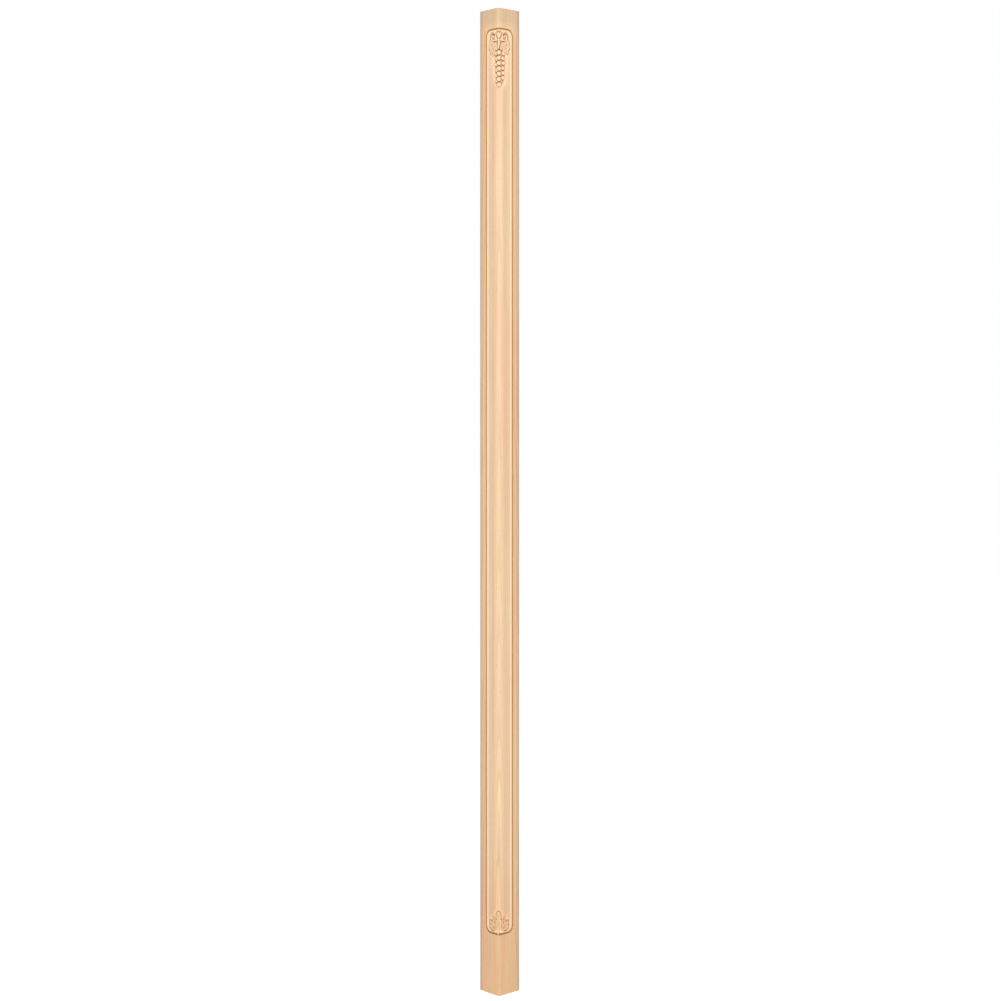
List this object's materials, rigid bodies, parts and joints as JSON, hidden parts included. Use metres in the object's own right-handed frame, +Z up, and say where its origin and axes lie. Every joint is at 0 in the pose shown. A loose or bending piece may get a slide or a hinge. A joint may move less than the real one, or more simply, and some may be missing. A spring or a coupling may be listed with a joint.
{
  "type": "carved cabinet corner post",
  "caption": "Tall square wooden corner post with a rounded show corner, a grooved panel wrapped round it, scrolls, leaves and grapes at the top and a leaf at the foot.",
  "frame": {"origin": "middle of the square foot, on the surface that the post stands on", "axes": "+Z up the post; the carved show corner points between +X and -Y; the plain faces that meet the cabinet look along -X and +Y"},
  "size_m": [0.0698, 0.0698, 2.438],
  "materials": {
    "wood": "bare pale hardwood, sanded smooth, not stained or varnished"
  },
  "bodies": {
    "root": {"corner_post": "wood"}
  },
  "joints": []
}
